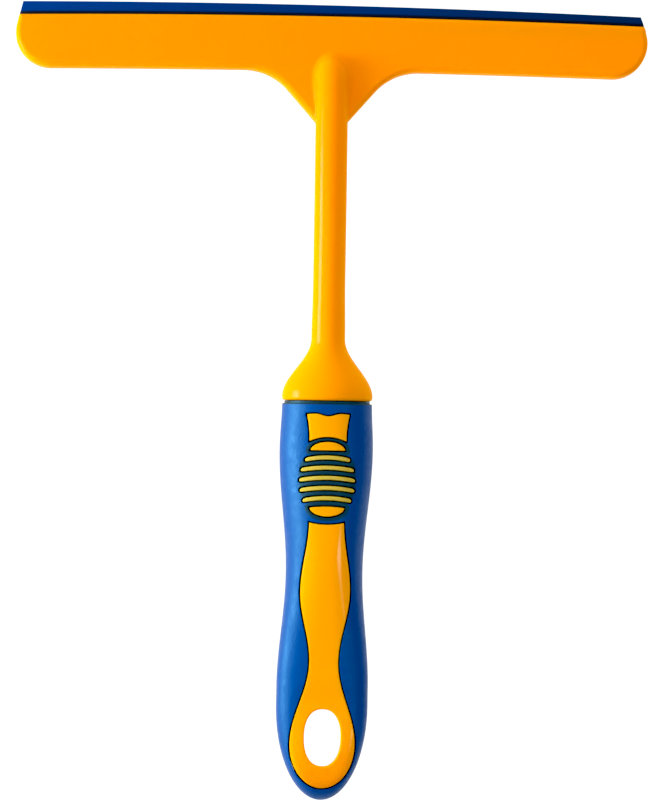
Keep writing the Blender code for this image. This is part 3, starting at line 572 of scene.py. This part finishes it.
# Painted shade on the core below the outer form, such as the lands' sides, kept off the eye; an olive tint on
# the front round the pad's ribs.
def core_shade(x, y, z):
    depth = np.where(EYE(x, y - BUTT) < EYE_CLEAR, 0, -handle(x, y, z))
    return painted_seam_shade(depth), pad_tint_and_shade(x, y, PAD_TINT_CORE_HALF) * (z > AXIS)


# Painted shade on the plug below the shoulder's rim, fading in just above it.
def holder_shade(x, y, z):
    return np.clip((RIM + RIM_SHADE - y) / RIM_SHADE, 0, 1), np.zeros(x.shape)


# The rubber blade.

ROOT_RISE = 0.35
# How far above the holder's edge, how thick there, and how deep in shade.
LIP_ROWS = [
    (-1.3, 1.0, 0), (-0.35, 1.0, 1), (-0.2, 0.62, 1), (0.3, 0.56, 1), (1.0, 0.56, 1),
    (1.3, 0.9, 0.7), (1.45, 0.97, 0.1),
    *[(rise, 1.0, 0) for rise in np.linspace(1.6, LIP_REACH - 0.25, 9)],
    (LIP_REACH - 0.12, 0.93, 0), (LIP_REACH - 0.02, 0.75, 0), (LIP_REACH, 0.5, 0), (LIP_REACH, 0.15, 0),
]
# Shares of half the blade's length. The ends are rounded off over the last of them.
END_START, END_LENGTH, END_SHRINK = 0.9985, 0.0015, 0.2
SWEEP = [-1, -0.9993, -END_START, *np.linspace(-0.997, 0.997, 121), END_START, 0.9993, 1]
# The rubber is cut a little askew: it stands out further at its left end.
ASKEW_MIDDLE, ASKEW_SIDE, ASKEW_START = 0.2, 0.7, 0.3


def rubber_blade():
    """The bead, the lip that thins to its tip, and the slanted ends, swept across the tool."""
    half = HOLDER_WIDTH / 2 - TOP_INSET
    joint = math.asin(LIP / 2 / BEAD_RADIUS)
    turns = np.linspace(joint, 2 * math.pi - joint, 29)
    bead = [(math.cos(t) * BEAD_RADIUS, math.sin(t) * BEAD_RADIUS) for t in turns]
    root = BEAD_RADIUS * math.cos(joint) + ROOT_RISE
    rows = [(None, 1.0, 0)] + LIP_ROWS
    points, seam = [], []
    for s in SWEEP:
        shrink = 1 - END_SHRINK * max(abs(s) - END_START, 0) / END_LENGTH
        for v, w in bead:
            points.append((s * half, v * shrink, w * shrink))
            seam.append(0)
        for side in (-1, 1):
            for rise, thick, shade in rows if side < 0 else rows[::-1]:
                share = 0 if rise is None else max(rise, 0) / LIP_REACH
                u = s * (half - END_SLANT * share)
                if rise is None:
                    v = root
                else:
                    askew = (ASKEW_MIDDLE + ASKEW_SIDE * s) * max(share - ASKEW_START, 0) / (1 - ASKEW_START)
                    v = BEAD_DEPTH - TOP_CROWN * (u / (HOLDER_WIDTH / 2)) ** 2 + (rise - askew)
                points.append((u, v, side * LIP / 2 * (1 - share * (1 - TIP / LIP)) * thick * shrink))
                seam.append(shade)
    count = len(points) // len(SWEEP)
    faces = [
        (i * count + j, i * count + (j + 1) % count, (i + 1) * count + (j + 1) % count, (i + 1) * count + j)
        for i in range(len(SWEEP) - 1)
        for j in range(count)
    ]
    faces += [tuple(reversed(range(count))), tuple(range((len(SWEEP) - 1) * count, len(SWEEP) * count))]
    x, v, w = np.array(points).T
    v = v - BEAD_DEPTH
    placed = np.stack([x, TOP_Y + v * TC + w * TS, TOP_Z - v * TS + w * TC], -1) * MM
    mesh = bpy.data.meshes.new("squeegee_blade")
    mesh.from_pydata(placed.tolist(), [], faces)
    mesh.validate()
    mesh.shade_smooth()
    mesh.set_sharp_from_angle(angle=math.radians(50))
    # The rows marked in shade, at the lip's foot just above the holder's edge, get painted shade.
    mark(mesh, (seam, np.zeros(len(points))))
    return add_object("squeegee_blade", mesh)


# Materials. Colours are linear, lengths are in metres, and a noise's scale is in waves to the metre.

# The mix node's sockets for colours.
MIX_FACTOR, MIX_FIRST, MIX_SECOND, MIX_RESULT = 0, 6, 7, 2


def material(name, roughness, **sockets):
    made = bpy.data.materials.new(name)
    made.use_nodes = True
    tree = made.node_tree
    shader = tree.nodes["Principled BSDF"]
    shader.inputs["Roughness"].default_value = roughness
    for key, value in sockets.items():
        shader.inputs[key.replace("_", " ")].default_value = value
    return made, tree, shader


def node(tree, kind, **values):
    made = tree.nodes.new(kind)
    for key, value in values.items():
        if hasattr(made, key):
            setattr(made, key, value)
        else:
            made.inputs[key.replace("_", " ")].default_value = value
    return made


def noise(tree, scale, detail=3.0, roughness=0.5):
    coords = tree.nodes.new("ShaderNodeTexCoord")
    made = node(tree, "ShaderNodeTexNoise", Scale=scale, Detail=detail, Roughness=roughness)
    tree.links.new(coords.outputs["Object"], made.inputs["Vector"])
    return made.outputs["Fac"]


def spread(tree, source, low, high, to_low=0.0, to_high=1.0):
    made = tree.nodes.new("ShaderNodeMapRange")
    for key, value in (("From Min", low), ("From Max", high), ("To Min", to_low), ("To Max", to_high)):
        made.inputs[key].default_value = value
    tree.links.new(source, made.inputs["Value"])
    return made.outputs["Result"]


def along(tree, axis, start, end):
    """From 0 to 1 between two places along one axis."""
    coords = tree.nodes.new("ShaderNodeTexCoord")
    parted = tree.nodes.new("ShaderNodeSeparateXYZ")
    tree.links.new(coords.outputs["Object"], parted.inputs[0])
    return spread(tree, parted.outputs[axis], start, end)


def patches(tree, scale, detail=4.0, most=1.0):
    return spread(tree, noise(tree, scale, detail), low=0.35, high=0.65, to_high=most)


def marked(tree, name, most=1.0):
    """One of the numbers that mark() keeps."""
    kept = node(tree, "ShaderNodeAttribute", attribute_name=name).outputs["Fac"]
    return kept if most == 1.0 else spread(tree, kept, low=0, high=1, to_high=most)


def blend_colours(tree, factor, first, second):
    """A mix of two colours; the first may be another mix."""
    made = tree.nodes.new("ShaderNodeMix")
    made.data_type = "RGBA"
    if isinstance(first, tuple):
        made.inputs[MIX_FIRST].default_value = (*first, 1)
    else:
        tree.links.new(first, made.inputs[MIX_FIRST])
    made.inputs[MIX_SECOND].default_value = (*second, 1)
    tree.links.new(factor, made.inputs[MIX_FACTOR])
    return made.outputs[MIX_RESULT]


def vary_roughness(tree, shader, scale, low, high):
    varied = spread(tree, noise(tree, scale, detail=4.0), low=0.3, high=0.7, to_low=low, to_high=high)
    tree.links.new(varied, shader.inputs["Roughness"])


def bump(tree, shader, height, distance, strength, after=None):
    made = node(tree, "ShaderNodeBump", Strength=strength, Distance=distance)
    tree.links.new(height, made.inputs["Height"])
    if after is not None:
        tree.links.new(after, made.inputs["Normal"])
    tree.links.new(made.outputs["Normal"], shader.inputs["Normal"])
    return made.outputs["Normal"]


def orange_plastic(name, first, second, gloss, last, start, end):
    """Two oranges in patches, which change to a last one between two places along the tool; that last one is
    painted shading, set at each call.
    """
    # An olive tint for the pad's ribs, and a dark colour for painted shade in seams and grooves.
    olive, groove_shade = (0.52, 0.47, 0.075), (0.12, 0.10, 0.03)
    made, tree, shader = material(
        name, gloss, IOR=1.49, Specular_IOR_Level=0.0, Specular_Tint=(1.0, 0.6, 0.08, 1),
        Subsurface_Weight=0.4, Subsurface_Scale=0.006, Subsurface_Radius=(1.0, 0.45, 0.05),
        Coat_Weight=0.16, Coat_Roughness=0.16,
        Sheen_Weight=0.12, Sheen_Roughness=0.5, Sheen_Tint=(1.0, 0.72, 0.04, 1),
    )
    colour = blend_colours(tree, patches(tree, scale=22.0, detail=3.0), first, second)
    colour = blend_colours(tree, along(tree, "Y", start, end), colour, last)
    # An olive tint round the pad's ribs, then painted shade in seams and grooves.
    colour = blend_colours(tree, marked(tree, "pad_tint_and_shade", most=0.8), colour, olive)
    colour = blend_colours(tree, marked(tree, "seam"), colour, groove_shade)
    tree.links.new(colour, shader.inputs["Base Color"])
    vary_roughness(tree, shader, scale=160.0, low=gloss - 0.04, high=gloss + 0.08)
    waves = bump(tree, shader, noise(tree, scale=30.0, detail=1.0), distance=0.00005, strength=0.5)
    bump(tree, shader, noise(tree, scale=2200.0, detail=2.0), distance=0.000012, strength=0.5, after=waves)
    return made


def soft_blue(name):
    left, right, patch = (0.0003, 0.053, 0.236), (0.0003, 0.030, 0.188), (0.0005, 0.047, 0.230)
    pad_shade, groove_shade = (0.012, 0.018, 0.002), (0.014, 0.026, 0.022)
    made, tree, shader = material(
        name, 0.48, IOR=1.5, Specular_IOR_Level=0.75, Specular_Tint=(0.22, 0.78, 1.0, 1),
    )
    # Painted light: the left is a lighter blue than the right, as the light falls from the left.
    colour = blend_colours(tree, along(tree, "X", start=-0.015, end=0.012), left, right)
    colour = blend_colours(tree, patches(tree, scale=60.0, most=0.3), colour, patch)
    # Painted shade round the pad's ribs and caps, then painted shade in seams and grooves.
    colour = blend_colours(tree, marked(tree, "pad_tint_and_shade", most=0.86), colour, pad_shade)
    colour = blend_colours(tree, marked(tree, "seam"), colour, groove_shade)
    tree.links.new(colour, shader.inputs["Base Color"])
    vary_roughness(tree, shader, scale=300.0, low=0.40, high=0.54)
    grain = bump(tree, shader, noise(tree, scale=1500.0, roughness=0.6), distance=0.00014, strength=1.0)
    bump(tree, shader, noise(tree, scale=420.0), distance=0.00005, strength=0.35, after=grain)
    return made


def blue_rubber(name):
    left, right, patch = (0.0004, 0.054, 0.204), (0.0005, 0.033, 0.074), (0.0004, 0.036, 0.14)
    groove_shade = (0.028, 0.030, 0.030)
    made, tree, shader = material(
        name, 0.36, IOR=1.5, Specular_IOR_Level=0.15, Specular_Tint=(0.1, 0.45, 1.0, 1),
    )
    # Painted light: the blade is a lighter blue at its left end and darker towards its right, as the light
    # falls off away from the left.
    colour = blend_colours(tree, along(tree, "X", start=-0.11, end=0.12), left, right)
    colour = blend_colours(tree, patches(tree, scale=40.0, most=0.25), colour, patch)
    # Painted shade at the blade's foot, where it goes into the holder.
    colour = blend_colours(tree, marked(tree, "seam"), colour, groove_shade)
    tree.links.new(colour, shader.inputs["Base Color"])
    vary_roughness(tree, shader, scale=250.0, low=0.3, high=0.46)
    bump(tree, shader, noise(tree, scale=900.0), distance=0.00003, strength=0.5)
    return made


# The pieces.

def dress(piece, body, cad_node, look):
    piece.data.materials.append(look)
    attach(piece, body)
    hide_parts(cad_node)


# The boxes in which the surfaces are looked for.
low_head, high_head = (-128, RIM - PLUG_LENGTH - 2, -2), (128, TOP_Y + 3, 30)
low_grip, high_grip = (-21, BUTT - 2, -2), (21, RIM + 1, 30)
holder = skin("squeegee_holder", holder_field, low_head, high_head, HOLDER_STEP, holder_shade)
grip = skin("squeegee_grip", grip_field, low_grip, high_grip, HANDLE_STEP, grip_shade)
core = skin("squeegee_core", core_field, low_grip, high_grip, HANDLE_STEP, core_shade)
blade = rubber_blade()
# The holder's shoulder end is a yellower orange: a painted pool of light.
gloss_orange = orange_plastic(
    "orange_gloss", first=(0.99, 0.306, 0.0), second=(0.99, 0.313, 0.0), gloss=0.24,
    last=(0.99, 0.335, 0.0), start=0.09, end=0.01,
)
# The handle's butt end is a darker orange: painted shade where the handle turns away from the light.
satin_orange = orange_plastic(
    "orange_satin", first=(0.99, 0.384, 0.0), second=(0.99, 0.392, 0.0), gloss=0.3,
    last=(0.93, 0.30, 0.004), start=-0.132, end=-0.152,
)
dress(holder, "tool", "blade_holder", gloss_orange)
dress(core, "tool", "handle_core", satin_orange)
dress(grip, "tool", "soft_grip", soft_blue("soft_blue"))
dress(blade, "blade", "rubber_blade", blue_rubber("blade_rubber"))


# Studio, in metres: a pale floor, a soft light low on the left, a small one high on the right, and a room
# that is brightest on the left.

def floor():
    reach, level = 3.0, -0.0002
    corners = [(x, y, level) for x, y in ((-reach, -reach), (reach, -reach), (reach, reach), (-reach, reach))]
    mesh = bpy.data.meshes.new("studio_floor")
    mesh.from_pydata(corners, [], [(0, 1, 2, 3)])
    made = add_object("studio_floor", mesh)
    look, _, _ = material(
        "pale_floor", 0.9, Base_Color=(0.06, 0.06, 0.06, 1), Emission_Color=(1, 1, 1, 1),
        Emission_Strength=1.06, Specular_IOR_Level=0.1,
    )
    made.data.materials.append(look)


def softbox(name, place, aim, size, power, colour=(1, 1, 1)):
    light = bpy.data.lights.new(name, "AREA")
    light.shape = "RECTANGLE"
    light.size, light.size_y = size
    light.energy = power
    light.color = colour
    made = add_object(name, light)
    made.location = place
    made.rotation_euler = (Vector(aim) - Vector(place)).to_track_quat("-Z", "Y").to_euler()


def room(colour, slope_of_light, middle):
    """A plain room whose light changes with direction by a slope, round its middle strength."""
    world = bpy.data.worlds.new("studio_room")
    world.use_nodes = True
    tree = world.node_tree
    background = tree.nodes["Background"]
    background.inputs["Color"].default_value = colour
    direction = tree.nodes.new("ShaderNodeTexCoord")
    slant = node(tree, "ShaderNodeVectorMath", operation="DOT_PRODUCT")
    slant.inputs[1].default_value = slope_of_light
    tree.links.new(direction.outputs["Generated"], slant.inputs[0])
    level = node(tree, "ShaderNodeMath", operation="ADD")
    level.inputs[1].default_value = middle
    tree.links.new(slant.outputs["Value"], level.inputs[0])
    tree.links.new(level.outputs[0], background.inputs["Strength"])
    bpy.context.scene.world = world


def camera(aim, distance, lean_left, lean_down, roll, pixel):
    """It looks straight down but for two small leans and a roll; a pixel's size is taken at the aim."""
    image_height, sensor = 800, 36
    lens_data = bpy.data.cameras.new("studio_camera")
    made = add_object("studio_camera", lens_data)
    back = Vector((-math.sin(lean_left), -math.sin(lean_down), 1)).normalized()
    right = Vector((0, 1, 0)).cross(back).normalized()
    up = back.cross(right)
    c, s = math.cos(roll), math.sin(roll)
    turned = Matrix((right * c + up * s, up * c - right * s, back)).transposed()
    made.matrix_world = Matrix.Translation(aim + back * distance) @ turned.to_4x4()
    lens_data.sensor_fit = "AUTO"
    lens_data.sensor_width = sensor
    lens_data.lens = sensor * distance / (image_height * pixel)
    lens_data.clip_start, lens_data.clip_end = 0.1, 20
    bpy.context.scene.camera = made


floor()
softbox(
    "left_softbox", place=(-0.60, 0.02, 0.20), aim=(0, -0.02, 0), size=(0.32, 0.22), power=4.6,
    colour=(0.97, 1.0, 1.13),
)
softbox("right_softbox", place=(0.5, -0.17, 0.95), aim=(0, -0.06, 0), size=(0.06, 0.16), power=1.7)
# Brighter to the left, towards the blade and from below.
room(colour=(1.1, 1.0, 1.25, 1), slope_of_light=(-0.40, 0.36, -0.36), middle=0.91)
view = bpy.context.scene.view_settings
view.view_transform = "Standard"
# A small black level takes the last veil off the colours' dark channels.
view.use_curve_mapping = True
view.curve_mapping.black_level = (0.02, 0.02, 0.02)
view.curve_mapping.update()
camera(
    aim=Vector((-0.00085, 0.0005, AXIS * MM)), distance=3.0,
    lean_left=math.radians(3.0), lean_down=math.radians(0.5), roll=0.0178, pixel=0.0003940,
)
